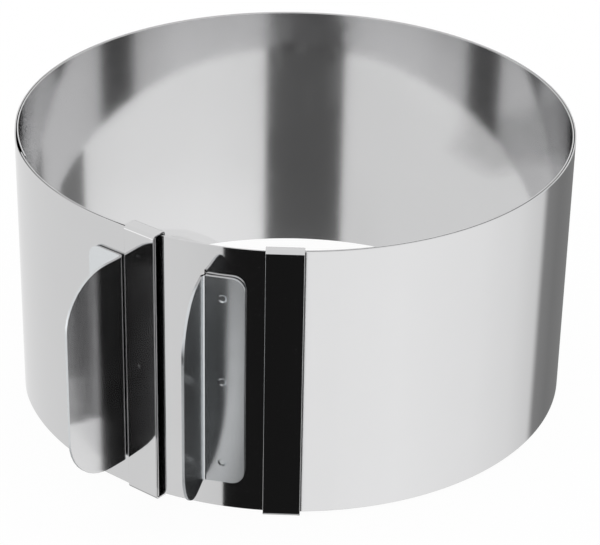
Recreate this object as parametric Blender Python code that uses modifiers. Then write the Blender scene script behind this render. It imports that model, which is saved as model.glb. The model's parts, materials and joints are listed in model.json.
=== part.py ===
"""Adjustable cake ring: a steel strip rolled into two turns that slide in each other.

The ring stands on z = 0 with its two handles facing -Y. One long strip starts at its outer end,
left of the front, and runs left, round the back and the right side to the front, under its own
outer end, and on round the inside to its inner end. A folded sleeve on each end of the strip hooks
over the other turn. The strip is modelled as two rigid solids, the outer and the inner turn, so
that the inner one can slide round inside the outer one, as it does when the ring is adjusted.

Lengths are in metres. Angles round the ring are in radians, counted from the front (-Y) towards
the right (+X), about the ring's upright axis.
"""

from math import atan2, ceil, cos, pi, radians, sin, tan

import bmesh
import bpy
from mathutils import Matrix, Vector

# The strip
STRIP_HEIGHT = 0.085
STRIP_THICKNESS = 0.0004
RING_RADIUS = 0.0843            # to the middle of the outer turn's sheet
LAYER_GAP = 0.00025             # between two turns that slide on each other
END_FLAT_LENGTH = 0.0176        # the outer end runs straight here, as a tangent
TAIL_ANGLE = radians(-47)       # where the outer turn's tail ends, under its own start
LAP_FADE_ANGLE = radians(13)    # past the tail, the start steps down to the ring's radius
INNER_LAP_ANGLE = radians(2)    # the inner turn starts this far before the tail's end
PATH_STEP = radians(1.5)        # the longest step along a turn

# The sleeves
SLEEVE_WIDTH = 0.0107
SLEEVE_THICKNESS = 0.0005
SLEEVE_CORNER = 0.0011          # outer radius of the folds
SLEEVE_EDGE_GAP = 0.0003        # over the strip's top edge and under its bottom edge
SLEEVE_LIP = 0.012              # height of the lips that hook behind the strip
SLEEVE_RUNNING_GAP = 0.00035    # from the inner end's sleeve to the lapped turn it slides over
SEAT_GAP = 0.00025              # between sheets that are welded together

# The handles
HANDLE_SPACING = 0.0234         # along the ring, between the two wings' roots
HANDLE_HEIGHT = 0.067
HANDLE_THICKNESS = 0.0008
HANDLE_FOOT = 0.0127            # width of the foot, which lies on the strip
HANDLE_REACH = 0.0235           # how far the wing stands out from the strip
HANDLE_LEAN = radians(2)        # the wing leans this far towards its foot
HANDLE_BEND = 0.0012            # radius of the bend, to the middle of the sheet
FOOT_CORNER = 0.004
WING_CORNER = 0.016
EDGE_BREAK = 0.00015            # the handles' edges are eased by this much
EDGE_ANGLE = radians(60)        # only where faces meet more sharply than this
WING_TO_SLEEVE = 0.0004         # from the left wing to the outer end's sleeve
STOP_GAP = 0.0053               # along the ring, from the right foot to the inner end's sleeve

# Spot welds, pressed into the sheets as shallow dimples
WELD_RADIUS = 0.0013
WELD_FLOOR_RADIUS = 0.0008
WELD_DEPTH = 0.0002
WELD_OVERRUN = 0.0005           # how far a cutter stands out of the face that it cuts
FOOT_WELD_SHARE = 0.4           # the outer welds' height off the middle, of the foot's height
SLEEVE_WELD_SHARE = 0.41        # the same on a sleeve, of the strip's height

FOLD_STEPS = 6
CORNER_STEPS = 10
WELD_SIDES = 24

LAYER_STEP = STRIP_THICKNESS + LAYER_GAP
LAP_RADIUS = RING_RADIUS + LAYER_STEP
INNER_RADIUS = RING_RADIUS - LAYER_STEP
STRIP_BASE = SLEEVE_THICKNESS + SLEEVE_EDGE_GAP
STRIP_MIDDLE = STRIP_BASE + STRIP_HEIGHT / 2

ROOT_ANGLE = HANDLE_SPACING / RING_RADIUS / 2
RIGHT_FOOT_ANGLE = ROOT_ANGLE + HANDLE_FOOT / RING_RADIUS / 2
INNER_END_ANGLE = ROOT_ANGLE + (HANDLE_FOOT + STOP_GAP) / RING_RADIUS
INNER_SLEEVE_ANGLE = INNER_END_ANGLE + SLEEVE_WIDTH / RING_RADIUS / 2
LEFT_WING_X = END_FLAT_LENGTH - SLEEVE_WIDTH - WING_TO_SLEEVE
OUTER_END_ANGLE = -ROOT_ANGLE - atan2(LEFT_WING_X, LAP_RADIUS)

# Each handle: its name, the side that its foot lies on, the place of its wing's root in its own
# frame, the distance of its seat from the ring's axis, and the angle of its frame.
HANDLES = [
    ("left_handle", -1, LEFT_WING_X, LAP_RADIUS + STRIP_THICKNESS / 2, OUTER_END_ANGLE),
    ("right_handle", 1, -HANDLE_FOOT / 2, RING_RADIUS + STRIP_THICKNESS / 2, RIGHT_FOOT_ANGLE),
]


def steel(name, shade, roughness):
    """A stainless finish: a Principled material with a grey of its own."""
    material = bpy.data.materials.new(name)
    material.use_nodes = True
    shader = material.node_tree.nodes["Principled BSDF"]
    shader.inputs["Base Color"].default_value = (shade, shade, shade, 1)
    shader.inputs["Metallic"].default_value = 1
    shader.inputs["Roughness"].default_value = roughness
    return material


def add_object(name, mesh, collection, parent, angle=0.0):
    """Hang a mesh on an empty of the ring's axis, turned to its place round the ring."""
    thing = bpy.data.objects.new(name, mesh)
    collection.objects.link(thing)
    thing.parent = parent
    thing.rotation_euler.z = angle
    return thing


def ribbon(name, columns):
    """An open sheet: each column is the pair of points on its two long edges."""
    shape = bmesh.new()
    rows = [[shape.verts.new(point) for point in column] for column in columns]
    for first, second in zip(rows, rows[1:]):
        shape.faces.new((first[0], second[0], second[1], first[1]))
    mesh = bpy.data.meshes.new(name)
    shape.to_mesh(mesh)
    shape.free()
    return mesh


def thicken(thing, thickness, material):
    """Give a sheet its thickness, half to each side, and shade its bends smooth."""
    solid = thing.modifiers.new("sheet", "SOLIDIFY")
    solid.thickness = thickness
    solid.offset = 0
    solid.use_even_offset = True
    thing.data.materials.append(material)
    thing.data.shade_smooth()


def polar(radius, angle):
    """The plan point at an angle round the ring's axis."""
    return Vector((radius * sin(angle), -radius * cos(angle)))


def turned(point, angle):
    """A plan point turned about the ring's axis."""
    return Matrix.Rotation(angle, 2) @ point


def turn_angles(start, end):
    """Even steps from one angle down to another, no longer than the path step."""
    count = ceil((start - end) / PATH_STEP)
    return [start + (end - start) * step / count for step in range(count + 1)]


def outer_radius(angle):
    """The outer turn's radius: over its own tail it lies one layer further out."""
    share = min(max((TAIL_ANGLE - angle) / LAP_FADE_ANGLE, 0), 1)
    ease = share * share * (3 - 2 * share)
    return LAP_RADIUS - LAYER_STEP * ease


def outer_path():
    """Plan of the outer turn, from the straight outer end round to the tail under it."""
    straight = turned(Vector((END_FLAT_LENGTH, -LAP_RADIUS)), OUTER_END_ANGLE)
    angles = turn_angles(OUTER_END_ANGLE, TAIL_ANGLE - 2 * pi)
    return [straight] + [polar(outer_radius(angle), angle) for angle in angles]


def inner_path():
    """Plan of the inner turn, a plain arc from beside the tail to the inner end."""
    angles = turn_angles(TAIL_ANGLE + INNER_LAP_ANGLE, INNER_END_ANGLE - 2 * pi)
    return [polar(INNER_RADIUS, angle) for angle in angles]


def add_strip(name, path, collection, parent, material):
    """One turn of the strip, from its plan."""
    top = STRIP_BASE + STRIP_HEIGHT
    columns = [((x, y, STRIP_BASE), (x, y, top)) for x, y in path]
    thing = add_object(name, ribbon(name, columns), collection, parent)
    thicken(thing, STRIP_THICKNESS, material)
    return thing


def folded_path(points, radius):
    """A path of straight runs whose corners are arcs of one radius."""
    path = [points[0]]
    for before, corner, after in zip(points, points[1:], points[2:]):
        arrive = (corner - before).normalized()
        leave = (after - corner).normalized()
        inward = (leave - arrive * arrive.dot(leave)).normalized()
        bend = arrive.angle(leave)
        start = corner - arrive * radius * tan(bend / 2)
        for step in range(FOLD_STEPS + 1):
            swing = bend * step / FOLD_STEPS
            path.append(start + arrive * radius * sin(swing) + inward * radius * (1 - cos(swing)))
    path.append(points[-1])
    return path


def sleeve_profile(front, back):
    """Section of a sleeve: distance out from the ring's axis, and height.

    The front wall's inner face stands at front, and the lips' outer faces at back.
    """
    half = SLEEVE_THICKNESS / 2
    low = half
    high = STRIP_BASE + STRIP_HEIGHT + SLEEVE_EDGE_GAP + half
    near, far = back - half, front + half
    corners = [(near, SLEEVE_LIP), (near, low), (far, low), (far, high), (near, high),
               (near, high + half - SLEEVE_LIP)]
    return folded_path([Vector(corner) for corner in corners], SLEEVE_CORNER - half)


def add_sleeve(name, left, front, back, angle, collection, parent, material):
    """A folded C of sheet whose left edge lies at x = left in its own frame."""
    profile = sleeve_profile(front, back)
    columns = [((left, -out, height), (left + SLEEVE_WIDTH, -out, height))
               for out, height in profile]
    thing = add_object(name, ribbon(name, columns), collection, parent, angle)
    thicken(thing, SLEEVE_THICKNESS, material)
    return thing


def corner_columns(tip, inward, corner_radius):
    """Columns at the end of a handle's sheet, where its two corners are rounded."""
    columns = []
    for step in range(CORNER_STEPS + 1):
        swing = pi / 2 * step / CORNER_STEPS
        point = tip + inward * corner_radius * (1 - cos(swing))
        columns.append((point, HANDLE_HEIGHT / 2 - corner_radius * (1 - sin(swing))))
    return columns


def handle_plan(side, root, seat):
    """Plan points of a handle's sheet: foot edge, bend corner and wing tip.

    The foot lies on a seat at that distance from the axis, on the given side of the root.
    """
    out = seat + SEAT_GAP + HANDLE_THICKNESS / 2
    bend = Vector((root + side * HANDLE_THICKNESS / 2, -out))
    foot = Vector((root + side * HANDLE_FOOT, -out))
    wing = Vector((side * sin(HANDLE_LEAN), -cos(HANDLE_LEAN)))
    return foot, bend, bend + wing * (HANDLE_REACH - HANDLE_THICKNESS / 2 - SEAT_GAP)


def add_handle(name, side, root, seat, angle, collection, parent, material):
    """An L of sheet with rounded corners: a foot on the strip and a wing standing out."""
    foot, bend, tip = handle_plan(side, root, seat)
    fold = folded_path([foot, bend, tip], HANDLE_BEND)[1:-1]
    plan = corner_columns(foot, (bend - foot).normalized(), FOOT_CORNER)
    plan += [(point, HANDLE_HEIGHT / 2) for point in fold]
    plan += reversed(corner_columns(tip, (bend - tip).normalized(), WING_CORNER))
    columns = [((x, y, STRIP_MIDDLE - half), (x, y, STRIP_MIDDLE + half))
               for (x, y), half in plan]
    thing = add_object(name, ribbon(name, columns), collection, parent, angle)
    thicken(thing, HANDLE_THICKNESS, material)
    ease = thing.modifiers.new("eased edges", "BEVEL")
    ease.width = EDGE_BREAK
    ease.segments = 1
    ease.limit_method = "ANGLE"
    ease.angle_limit = EDGE_ANGLE
    return thing


def press_welds(thing, x, face, heights, cutters):
    """Cut a column of shallow dimples into the outward face of a sheet."""
    shape = bmesh.new()
    spread = (WELD_RADIUS - WELD_FLOOR_RADIUS) / WELD_DEPTH
    for height in heights:
        floor = Vector((x, -face + WELD_DEPTH, height))
        middle = floor - Vector((0, (WELD_DEPTH + WELD_OVERRUN) / 2, 0))
        bmesh.ops.create_cone(
            shape, cap_ends=True, segments=WELD_SIDES, radius1=WELD_FLOOR_RADIUS,
            radius2=WELD_RADIUS + spread * WELD_OVERRUN, depth=WELD_DEPTH + WELD_OVERRUN,
            matrix=Matrix.Translation(middle) @ Matrix.Rotation(pi / 2, 4, "X"))
    mesh = bpy.data.meshes.new(thing.name + "_welds")
    shape.to_mesh(mesh)
    shape.free()
    cutter = add_object(mesh.name, mesh, cutters, thing.parent, thing.rotation_euler.z)
    cutter.display_type = "WIRE"
    cutter.hide_render = True
    cut = thing.modifiers.new("spot welds", "BOOLEAN")
    cut.object = cutter
    cut.solver = "EXACT"


def weld_heights(offset):
    """Three welds: one at the strip's middle height and one above and below it."""
    return [STRIP_MIDDLE - offset, STRIP_MIDDLE, STRIP_MIDDLE + offset]


def add_handle_pair(collection, cutters, parent, material):
    """The left handle on the strip's outer end, and the right one on the single layer."""
    for name, side, root, seat, angle in HANDLES:
        handle = add_handle(name, side, root, seat, angle, collection, parent, material)
        face = seat + SEAT_GAP + HANDLE_THICKNESS
        middle = root + side * HANDLE_FOOT / 2
        press_welds(handle, middle, face, weld_heights(HANDLE_HEIGHT * FOOT_WELD_SHARE), cutters)


def add_outer_sleeve(collection, cutters, parent, material):
    """The sleeve on the straight outer end; its lips clear the inner turn's curve."""
    half = STRIP_THICKNESS / 2
    front = LAP_RADIUS + half + SEAT_GAP
    inner_face = INNER_RADIUS - half
    reach = (inner_face ** 2 - END_FLAT_LENGTH ** 2) ** 0.5
    left = END_FLAT_LENGTH - SLEEVE_WIDTH
    sleeve = add_sleeve("outer_end_sleeve", left, front, reach - LAYER_GAP, OUTER_END_ANGLE,
                        collection, parent, material)
    offset = STRIP_HEIGHT * SLEEVE_WELD_SHARE
    press_welds(sleeve, left + SLEEVE_WIDTH / 2, front + SLEEVE_THICKNESS,
                weld_heights(offset), cutters)


def add_inner_sleeve(collection, parent, material):
    """The sleeve on the inner end, whose front wall runs outside the outer turn."""
    half = STRIP_THICKNESS / 2
    front = LAP_RADIUS + half + SLEEVE_RUNNING_GAP
    inner_face = INNER_RADIUS - half
    back = (inner_face ** 2 - (SLEEVE_WIDTH / 2) ** 2) ** 0.5 - SEAT_GAP
    add_sleeve("inner_end_sleeve", -SLEEVE_WIDTH / 2, front, back, INNER_SLEEVE_ANGLE,
               collection, parent, material)


def ring_axis_y():
    """Where the ring's axis stands, so that the whole part is centred on the origin."""
    reaches = []
    for _name, side, root, seat, angle in HANDLES:
        tip = turned(handle_plan(side, root, seat)[2], angle)
        edge = HANDLE_THICKNESS / 2 * sin(abs(angle) + HANDLE_LEAN)
        reaches.append(edge - tip.y)
    return (max(reaches) - RING_RADIUS - STRIP_THICKNESS / 2) / 2


def add_axis(name, collection, parent=None):
    """An empty on the ring's upright axis."""
    axis = bpy.data.objects.new(name, None)
    collection.objects.link(axis)
    axis.parent = parent
    return axis


def build():
    for thing in list(bpy.data.objects):
        bpy.data.objects.remove(thing)
    ring = bpy.data.collections.new("adjustable_cake_ring")
    cutters = bpy.data.collections.new("cutters")
    bpy.context.scene.collection.children.link(ring)
    bpy.context.scene.collection.children.link(cutters)

    ring_axis = add_axis("ring_axis", ring)
    ring_axis.location.y = ring_axis_y()
    slide_axis = add_axis("slide_axis", ring, ring_axis)

    strip_steel = steel("strip steel", 0.72, 0.16)
    sleeve_steel = steel("sleeve steel", 0.62, 0.2)
    handle_steel = steel("handle steel", 0.5, 0.3)

    add_strip("outer_turn", outer_path(), ring, ring_axis, strip_steel)
    add_strip("inner_turn", inner_path(), ring, slide_axis, strip_steel)
    add_outer_sleeve(ring, cutters, ring_axis, sleeve_steel)
    add_inner_sleeve(ring, slide_axis, sleeve_steel)
    add_handle_pair(ring, cutters, ring_axis, handle_steel)


build()
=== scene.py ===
"""Looks of the adjustable cake ring: polished strip, folded sleeves and satin handles.

Lengths are in metres and angles in degrees. Directions round the studio are counted from the
camera's side, positive towards the camera's right.
"""

import json
from math import acos, asin, cos, radians, sin

import bmesh
import bpy
from mathutils import Matrix, Vector


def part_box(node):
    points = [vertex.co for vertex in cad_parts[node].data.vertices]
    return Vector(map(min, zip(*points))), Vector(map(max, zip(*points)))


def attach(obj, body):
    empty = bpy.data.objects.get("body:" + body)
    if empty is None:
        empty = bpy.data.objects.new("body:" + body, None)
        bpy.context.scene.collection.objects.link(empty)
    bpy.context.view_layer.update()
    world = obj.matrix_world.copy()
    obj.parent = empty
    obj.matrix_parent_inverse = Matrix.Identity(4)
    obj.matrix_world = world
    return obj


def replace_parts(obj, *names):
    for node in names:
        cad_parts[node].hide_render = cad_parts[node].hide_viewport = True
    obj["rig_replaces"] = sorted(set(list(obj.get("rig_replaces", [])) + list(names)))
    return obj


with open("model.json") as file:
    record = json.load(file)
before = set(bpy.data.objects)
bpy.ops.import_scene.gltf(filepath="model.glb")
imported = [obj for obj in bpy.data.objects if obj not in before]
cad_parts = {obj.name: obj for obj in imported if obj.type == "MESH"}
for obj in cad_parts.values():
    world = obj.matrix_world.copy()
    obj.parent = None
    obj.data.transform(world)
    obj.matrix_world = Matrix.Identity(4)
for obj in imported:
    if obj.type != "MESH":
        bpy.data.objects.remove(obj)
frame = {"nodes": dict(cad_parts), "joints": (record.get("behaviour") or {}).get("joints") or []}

# The camera, in radii of the ring: it stands to the right of the handles and looks down
CAMERA_AZIMUTH = 25.1
CAMERA_ELEVATION = 28.774
CAMERA_ROLL = 1.129
CAMERA_DISTANCE = 9.047
CAMERA_RIGHT = 0.0257
CAMERA_UP = 0.335
CAMERA_LENS = 143.54            # millimetres, on a sensor 36 mm wide
SENSOR_WIDTH = 36

# What polished metal sees round the studio. Each zone is a list of (direction, brightness), and
# holds from the elevation named beside it down to the next zone's.
TOP_STOPS = [
    (-180, 0.03), (-172, 0.05), (-160, 0.10), (-151, 1.35), (-75, 1.42), (-45, 1.0), (-30, 0.95),
    (50, 0.98), (75, 1.25), (100, 1.38), (138, 1.4), (146, 0.05), (180, 0.03),
]
MIDDLE_STOPS = [
    (-180, 0.88), (-45, 0.90), (-10, 0.92), (42, 1.02), (80, 0.98), (105, 0.92), (122, 0.82),
    (127, 0.28), (140, 0.22), (180, 0.22),
]
LOW_STOPS = [
    (-180, 0.88), (-45, 0.90), (-30, 0.85), (10, 1.12), (45, 1.15), (83, 1.08), (105, 0.98),
    (122, 0.82), (127, 0.28), (140, 0.22), (180, 0.22),
]
MIDDLE_FROM = -24.0
LOW_FROM = -26.8
# How bright the tent is at each elevation
TENT_FADE = [
    (-37, 1.0), (-25.5, 1.0), (-24.3, 0.96), (-23.4, 1.18), (-23.0, 0.84), (-22.6, 0.42),
    (-21.8, 0.36), (-20.5, 1.0),
]
TENT_LOW, TENT_HIGH = -37, -20
STEEP = -40                     # anything lower is the table close by
TABLE_LEVEL = 0.55
SKY_LEVEL = 0.95                # above the horizon

# Cards that only metal sees: name, corners and brightness. Places are in radii of the ring from
# its axis: to the camera's right, towards the back, and up. The ring stands at height 0, and
# metal sees through the table, so cards also hang below it.
BLACK_LEVEL = 0.012
CARDS = [
    # Before the ring: the white card ends the dark band at the inner end's sleeve, the black
    # one is the dark band, and the right handle's foot mirrors the small one
    ("white_card", [(0.0747, -1.3, -0.25), (0.0747, -1.3, 0.9), (0.27, -1.3, 0.9),
                    (0.27, -1.3, -0.25)], 1.12),
    ("black_card", [(-1.40, -3.2, 0.8), (-1.40, -3.2, -2.45), (0.87, -3.2, -2.45),
                    (0.87, -3.2, 0.8)], BLACK_LEVEL),
    ("small_card", [(-0.87, -2.2, -0.74), (-0.87, -2.2, 0.13), (-0.75, -2.2, 0.13),
                    (-0.75, -2.2, -0.74)], 0.75),
    # Within the ring, so that its inside doesn't mirror the small card or the white one
    ("low_card", [(-0.465, -0.8, 0.04), (-0.465, -0.8, -0.25), (-0.31, -0.8, -0.25),
                  (-0.31, -0.8, 0.04)], 0.05),
    ("inner_card", [(0.03, -0.97, 0.015), (0.03, -0.97, -0.14), (0.215, -0.97, -0.14),
                    (0.215, -0.97, 0.015)], BLACK_LEVEL),
    # The dark triangle low on the inside at the left
    ("side_card", [(0.5, 0.94, -0.42), (0.5, 0.94, -0.06), (0.5, 1.36, -0.22),
                   (0.5, 1.36, -0.42)], 0.13),
    # Dulls a sleeve's mirror image in the inside's dark band
    ("leaf_card", [(-0.1, -0.70, -0.19), (-0.1, -0.57, -0.19), (-0.1, -0.57, -0.02),
                   (-0.1, -0.70, -0.02)], 0.12),
]

# Veils that only metal sees: a share of the light is theirs and the rest passes through. The
# white one lies within the ring.
VEIL_RADIUS = 0.99
VEIL_HEIGHT = 0.002
VEIL_TURN_STEP = 10
VEIL_LEVEL = 1.0
VEIL_SHARE = 0.10
# Painted shade: the black veils darken what the metal mirrors of the table just outside the ring's
# wall, in place of the table's shade there.
# The black ones lie behind the ring at the left, just below the table, one within the other, so
# that together they have a soft edge. Each step draws a veil in by that many times the shifts.
SIDE_VEIL_STEPS = [0, 0.05, 0.10, 0.15]
SIDE_VEIL_LEVEL = 0.0
SIDE_VEIL_SHARE = 0.09
SIDE_VEIL_RADIUS = 1.06
SIDE_VEIL_ARC_PARTS = 8
SIDE_VEIL_FRONT = (-0.5, 0.38)
SIDE_VEIL_FRONT_SHIFT = (-0.6, 1)
SIDE_VEIL_BACK = (-0.26, 0.72)
SIDE_VEIL_BACK_SHIFT = (-1, 0.5)
SIDE_VEIL_HEIGHT = -0.04
SIDE_VEIL_HEIGHT_SHIFT = -0.02

FLOOR_SIZE = 6.0
FLOOR_GLOW_SHARE = 0.95

# Smoothing the CAD's facets
EDGE_ROUND = 0.00008
EDGE_STEPS = 2
MERGE_DISTANCE = 0.000002
FLAT_ANGLE = radians(0.2)
SHARP_ANGLE = radians(35)
DIMPLE_EDGE = 0.001             # the weld dimples' edges are shorter than this
DIMPLE_ANGLE = radians(15)
FACE_WEIGHT = 100               # how far large faces lead the shading of bends

# Steel
STEEL_COLOR = (0.66, 0.66, 0.665)
SATIN_COLOR = (0.66, 0.68, 0.695)
SMUDGE_SCALE = 45.0
SMUDGE_DETAIL = 5.0
SMUDGE_FADE = 0.6
SMUDGE_RANGE = (0.3, 0.7)
SMUDGE_ROUGH_SHARES = (0.9, 1.15)
SMUDGE_TINT_SHARE = 0.97
WAVE_SCALE = 22.0
WAVE_DETAIL = 1.0
GRAIN_SCALE = 60.0
GRAIN_DETAIL = 4.0
GRAIN_SQUEEZE = (1, 1, 60)      # rolling lines run round the ring

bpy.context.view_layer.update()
strip_low, strip_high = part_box("outer_turn")
ring_axis = Vector(frame["joints"][0]["pos_m"])
ring_radius = (strip_high.x - strip_low.x) / 2


def add_camera():
    """The photograph's view, with a long lens."""
    elevation = radians(CAMERA_ELEVATION)
    turn = Matrix.Rotation(radians(CAMERA_AZIMUTH), 3, "Z")
    back = turn @ Vector((0, -cos(elevation), sin(elevation)))
    right = turn @ Vector((1, 0, 0))
    up = back.cross(right)
    target = Vector((ring_axis.x, ring_axis.y, strip_low.z))
    offset = back * CAMERA_DISTANCE + right * CAMERA_RIGHT + up * CAMERA_UP
    roll = radians(CAMERA_ROLL)
    side = right * cos(roll) + up * sin(roll)
    top = up * cos(roll) - right * sin(roll)
    camera = bpy.data.objects.new("camera", bpy.data.cameras.new("camera"))
    camera.data.lens = CAMERA_LENS
    camera.data.sensor_width = SENSOR_WIDTH
    camera.matrix_world = (Matrix.Translation(target + offset * ring_radius)
                           @ Matrix((side, top, back)).transposed().to_4x4())
    bpy.context.scene.collection.objects.link(camera)
    bpy.context.scene.camera = camera


def add_node(tree, kind, settings=(), **inputs):
    """Add a shader node; inputs are values, or sockets to link from, by name or as i0, i1, i2."""
    node = tree.nodes.new(kind)
    for name, value in dict(settings).items():
        setattr(node, name, value)
    for name, value in inputs.items():
        key = int(name[1:]) if name[0] == "i" and name[1:].isdigit() else name.replace("_", " ")
        socket = node.inputs[key]
        if isinstance(value, bpy.types.NodeSocket):
            tree.links.new(value, socket)
        else:
            socket.default_value = value
    return node


def studio_ramp(tree, share, stops, first, last):
    """A ramp of brightness; its stops are counted from first to last."""
    ramp = add_node(tree, "ShaderNodeValToRGB", Fac=share)
    elements = ramp.color_ramp.elements
    while len(elements) < len(stops):
        elements.new(0.5)
    for element, (place, level) in zip(elements, stops):
        element.position = (place - first) / (last - first)
        element.color = (level, level, level, 1)
    return ramp.outputs["Color"]


def mix(tree, share, first, second, blend="MIX"):
    """A mix of two colours."""
    return add_node(tree, "ShaderNodeMix", {"data_type": "RGBA", "blend_type": blend}, i0=share,
                    i6=first, i7=second).outputs[2]


def compare(tree, operation, value, elevation):
    """Whether a direction's height is above or below an elevation."""
    return add_node(tree, "ShaderNodeMath", {"operation": operation}, i0=value,
                    i1=sin(radians(elevation))).outputs[0]


def add_world():
    """White for everything, except that metal also sees the tent's darker parts."""
    world = bpy.data.worlds.new("studio")
    bpy.context.scene.world = world
    world.use_nodes = True
    world.cycles.sampling_method = "NONE"
    tree = world.node_tree
    tree.nodes.clear()
    place = add_node(tree, "ShaderNodeTexCoord")
    turned = add_node(tree, "ShaderNodeVectorRotate", {"rotation_type": "Z_AXIS"},
                      Vector=place.outputs["Generated"], Angle=-radians(CAMERA_AZIMUTH))
    parts = add_node(tree, "ShaderNodeSeparateXYZ", Vector=turned.outputs["Vector"])
    height = parts.outputs["Z"]
    front = add_node(tree, "ShaderNodeMath", {"operation": "MULTIPLY"},
                     i0=parts.outputs["Y"], i1=-1.0)
    angle = add_node(tree, "ShaderNodeMath", {"operation": "ARCTAN2"},
                     i0=parts.outputs["X"], i1=front.outputs[0])
    round_share = add_node(tree, "ShaderNodeMath", {"operation": "MULTIPLY_ADD"},
                           i0=angle.outputs[0], i1=1 / radians(360), i2=0.5).outputs[0]
    top, middle, low = (studio_ramp(tree, round_share, stops, -180, 180)
                        for stops in (TOP_STOPS, MIDDLE_STOPS, LOW_STOPS))
    tent = mix(tree, compare(tree, "LESS_THAN", height, MIDDLE_FROM), top, middle)
    tent = mix(tree, compare(tree, "LESS_THAN", height, LOW_FROM), tent, low)
    arc = add_node(tree, "ShaderNodeMath", {"operation": "ARCSINE"}, i0=height)
    high_share = add_node(tree, "ShaderNodeMapRange", Value=arc.outputs[0],
                          From_Min=radians(TENT_LOW), From_Max=radians(TENT_HIGH))
    fade = studio_ramp(tree, high_share.outputs[0], TENT_FADE, TENT_LOW, TENT_HIGH)
    tent = mix(tree, 1.0, tent, fade, "MULTIPLY")
    tent = mix(tree, compare(tree, "GREATER_THAN", height, 0), tent,
               (SKY_LEVEL, SKY_LEVEL, SKY_LEVEL, 1))
    tent = mix(tree, compare(tree, "LESS_THAN", height, STEEP), tent,
               (TABLE_LEVEL, TABLE_LEVEL, TABLE_LEVEL, 1))
    path = add_node(tree, "ShaderNodeLightPath")
    seen = mix(tree, path.outputs["Is Glossy Ray"], (1, 1, 1, 1), tent)
    shade = add_node(tree, "ShaderNodeBackground", Color=seen, Strength=1.0)
    add_node(tree, "ShaderNodeOutputWorld", Surface=shade.outputs[0])


def add_floor():
    """A white table that keeps the ring's shadow; metal sees the studio in its place."""
    shape = bmesh.new()
    bmesh.ops.create_grid(shape, x_segments=1, y_segments=1, size=FLOOR_SIZE / 2)
    mesh = bpy.data.meshes.new("floor")
    shape.to_mesh(mesh)
    shape.free()
    floor = bpy.data.objects.new("floor", mesh)
    bpy.context.scene.collection.objects.link(floor)
    floor.visible_glossy = False
    material = bpy.data.materials.new("white table")
    material.use_nodes = True
    tree = material.node_tree
    tree.nodes.clear()
    matt = add_node(tree, "ShaderNodeBsdfDiffuse", Color=(1, 1, 1, 1))
    glow = add_node(tree, "ShaderNodeEmission", Color=(1, 1, 1, 1), Strength=1.0)
    both = add_node(tree, "ShaderNodeMixShader", Fac=FLOOR_GLOW_SHARE, i1=matt.outputs[0],
                    i2=glow.outputs[0])
    add_node(tree, "ShaderNodeOutputMaterial", Surface=both.outputs[0])
    mesh.materials.append(material)


def add_card(name, corners, level, share=1.0):
    """A plain glowing card that only metal sees; a share below 1 lets the rest through."""
    turn = Matrix.Rotation(radians(CAMERA_AZIMUTH), 3, "Z")
    shape = bmesh.new()
    middle = Vector((ring_axis.x, ring_axis.y, strip_low.z))
    shape.faces.new([shape.verts.new(middle + turn @ Vector(corner) * ring_radius)
                     for corner in corners])
    mesh = bpy.data.meshes.new(name)
    shape.to_mesh(mesh)
    shape.free()
    card = bpy.data.objects.new(name, mesh)
    bpy.context.scene.collection.objects.link(card)
    card.visible_camera = False
    card.visible_diffuse = False
    card.visible_shadow = False
    material = bpy.data.materials.new(name)
    material.use_nodes = True
    tree = material.node_tree
    tree.nodes.clear()
    glow = add_node(tree, "ShaderNodeEmission", Strength=level)
    clear = add_node(tree, "ShaderNodeBsdfTransparent")
    both = add_node(tree, "ShaderNodeMixShader", Fac=share, i1=clear.outputs[0],
                    i2=glow.outputs[0])
    add_node(tree, "ShaderNodeOutputMaterial", Surface=both.outputs[0])
    mesh.materials.append(material)


def veil_corners():
    """The white veil: a disc within the ring."""
    return [(VEIL_RADIUS * cos(radians(turn)), VEIL_RADIUS * sin(radians(turn)), VEIL_HEIGHT)
            for turn in range(0, 360, VEIL_TURN_STEP)]


def side_veil_corners(step):
    """A black veil of painted shade: a front corner, an arc just outside the ring's wall, and a
    back corner.
    """
    height = SIDE_VEIL_HEIGHT + SIDE_VEIL_HEIGHT_SHIFT * step
    front, back = (
        [place + shift * step for place, shift in zip(corner, shifts)]
        for corner, shifts in ((SIDE_VEIL_FRONT, SIDE_VEIL_FRONT_SHIFT),
                               (SIDE_VEIL_BACK, SIDE_VEIL_BACK_SHIFT)))
    first, last = asin(-back[0]), acos(front[1])
    turns = [last + (first - last) * part / SIDE_VEIL_ARC_PARTS
             for part in range(SIDE_VEIL_ARC_PARTS + 1)]
    arc = [(-SIDE_VEIL_RADIUS * sin(turn), SIDE_VEIL_RADIUS * cos(turn)) for turn in turns]
    return [(x, y, height) for x, y in [front] + arc + [back]]


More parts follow.
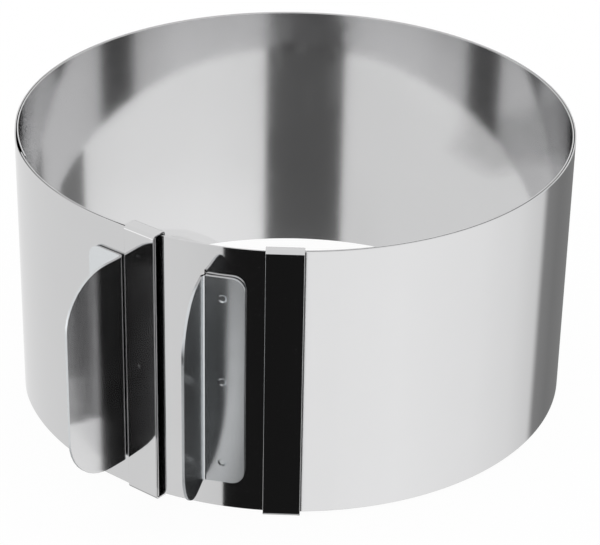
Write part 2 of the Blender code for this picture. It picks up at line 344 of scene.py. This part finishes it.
def steel(name, color, roughness, anisotropy, wave_height, grain_height, upright=False):
    """Stainless sheet: a faint waviness, fine rolling lines and smudges on a metal shader.

    Its reflections are spread sideways, or up and down where it is upright.
    """
    material = bpy.data.materials.new(name)
    material.use_nodes = True
    tree = material.node_tree
    shader = tree.nodes["Principled BSDF"]
    shader.inputs["Metallic"].default_value = 1
    shader.inputs["Anisotropic"].default_value = anisotropy
    place = add_node(tree, "ShaderNodeTexCoord")
    geometry = add_node(tree, "ShaderNodeNewGeometry")
    level = add_node(tree, "ShaderNodeVectorMath", {"operation": "CROSS_PRODUCT"},
                     i0=(0, 0, 1), i1=geometry.outputs["Normal"])
    spread = level
    if upright:
        spread = add_node(tree, "ShaderNodeVectorMath", {"operation": "CROSS_PRODUCT"},
                          i0=geometry.outputs["Normal"], i1=level.outputs[0])
    tree.links.new(spread.outputs[0], shader.inputs["Tangent"])
    smudge = add_node(tree, "ShaderNodeTexNoise", Vector=place.outputs["Object"],
                      Scale=SMUDGE_SCALE, Detail=SMUDGE_DETAIL, Roughness=SMUDGE_FADE)
    rough_low, rough_high = (roughness * share for share in SMUDGE_ROUGH_SHARES)
    rough = add_node(tree, "ShaderNodeMapRange", Value=smudge.outputs["Fac"],
                     From_Min=SMUDGE_RANGE[0], From_Max=SMUDGE_RANGE[1], To_Min=rough_low,
                     To_Max=rough_high)
    tree.links.new(rough.outputs["Result"], shader.inputs["Roughness"])
    tint = add_node(tree, "ShaderNodeMix", {"data_type": "RGBA"}, i0=smudge.outputs["Fac"],
                    i6=tuple(part * SMUDGE_TINT_SHARE for part in color) + (1,),
                    i7=color + (1,))
    tree.links.new(tint.outputs[2], shader.inputs["Base Color"])
    wave = add_node(tree, "ShaderNodeTexNoise", Vector=place.outputs["Object"],
                    Scale=WAVE_SCALE, Detail=WAVE_DETAIL)
    waves = add_node(tree, "ShaderNodeBump", Strength=1.0, Distance=wave_height,
                     Height=wave.outputs["Fac"])
    squeeze = add_node(tree, "ShaderNodeMapping", Vector=place.outputs["Object"],
                       Scale=GRAIN_SQUEEZE)
    grain = add_node(tree, "ShaderNodeTexNoise", Vector=squeeze.outputs[0], Scale=GRAIN_SCALE,
                     Detail=GRAIN_DETAIL)
    lines = add_node(tree, "ShaderNodeBump", Strength=1.0, Distance=grain_height,
                     Height=grain.outputs["Fac"], Normal=waves.outputs[0])
    tree.links.new(lines.outputs[0], shader.inputs["Normal"])
    return material


def finished(node, name, body, material, crisp_dimples=False):
    """A copy of a CAD node with its facets smoothed and its edges eased, in its place."""
    shape = bmesh.new()
    shape.from_mesh(frame["nodes"][node].data)
    bmesh.ops.remove_doubles(shape, verts=shape.verts, dist=MERGE_DISTANCE)
    bmesh.ops.dissolve_limit(shape, angle_limit=FLAT_ANGLE, verts=shape.verts,
                             edges=shape.edges)
    shape.edges.index_update()
    dimple_edges = [edge.index for edge in shape.edges if crisp_dimples
                    and edge.calc_length() < DIMPLE_EDGE
                    and edge.calc_face_angle(0) > DIMPLE_ANGLE]
    mesh = bpy.data.meshes.new(name)
    shape.to_mesh(mesh)
    shape.free()
    mesh.materials.append(material)
    mesh.shade_smooth()
    mesh.set_sharp_from_angle(angle=SHARP_ANGLE)
    for index in dimple_edges:
        mesh.edges[index].use_edge_sharp = True
    piece = bpy.data.objects.new(name, mesh)
    bpy.context.scene.collection.objects.link(piece)
    ease = piece.modifiers.new("eased edges", "BEVEL")
    ease.width = EDGE_ROUND
    ease.segments = EDGE_STEPS
    ease.limit_method = "ANGLE"
    ease.angle_limit = SHARP_ANGLE
    flat = piece.modifiers.new("flat faces stay flat", "WEIGHTED_NORMAL")
    flat.mode = "FACE_AREA"
    flat.weight = FACE_WEIGHT
    flat.keep_sharp = True
    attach(piece, body)
    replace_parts(piece, node)
    return piece


def dull_inside(strip):
    """The strip's inner side, a little less bright than its outer side."""
    strip.data.materials.append(inner_side)
    for face in strip.data.polygons:
        outward = face.center - ring_axis
        outward.z = 0
        if face.normal.dot(outward.normalized()) < 0:
            face.material_index = 1


def satin_within_bend(grip, foot_side):
    """The sheet's satin side lies within the handle's bend: the foot's front, the wing's side."""
    grip.data.materials.append(satin_side)
    low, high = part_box(grip["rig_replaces"][0])
    middle = (low + high) / 2 - ring_axis
    out = Vector((middle.x, middle.y, 0)).normalized()
    toward_foot = Vector((-out.y, out.x, 0)) * foot_side
    for face in grip.data.polygons:
        if face.normal.dot(out + toward_foot) > 0:
            face.material_index = 1


add_camera()
add_world()
add_floor()
for name, corners, level in CARDS:
    add_card(name, corners, level)
add_card("veil", veil_corners(), VEIL_LEVEL, VEIL_SHARE)
# Painted shade: black veils that darken the table near the ring's wall as the metal mirrors it
for step in SIDE_VEIL_STEPS:
    add_card("side_veil", side_veil_corners(step), SIDE_VEIL_LEVEL, SIDE_VEIL_SHARE)

outer_side = steel("strip's bright side", STEEL_COLOR, roughness=0.05, anisotropy=0.8,
                   wave_height=0.000004, grain_height=0.0000003)
inner_side = steel("strip's inner side", STEEL_COLOR, roughness=0.105, anisotropy=0.6,
                   wave_height=0.000003, grain_height=0.0000005)
sleeve_steel = steel("polished sleeve", STEEL_COLOR, roughness=0.06, anisotropy=0.3,
                     wave_height=0.000002, grain_height=0.0000003)
bright_side = steel("handle's bright side", STEEL_COLOR, roughness=0.12, anisotropy=0.9,
                    wave_height=0.000003, grain_height=0.0000003)
satin_side = steel("handle's satin side", SATIN_COLOR, roughness=0.21, anisotropy=0.9,
                   wave_height=0.000003, grain_height=0.000001, upright=True)

for node, name, body in (("outer_turn", "outer_strip", "outer_ring"),
                         ("inner_turn", "inner_strip", "inner_ring")):
    dull_inside(finished(node, name, body, outer_side))
finished("outer_end_sleeve", "outer_sleeve", "outer_ring", sleeve_steel)
finished("inner_end_sleeve", "inner_sleeve", "inner_ring", sleeve_steel)
for node, name, foot_side in (("left_handle", "left_grip", -1), ("right_handle", "right_grip", 1)):
    grip = finished(node, name, "outer_ring", bright_side, crisp_dimples=True)
    satin_within_bend(grip, foot_side)

bpy.context.scene.view_settings.view_transform = "Standard"
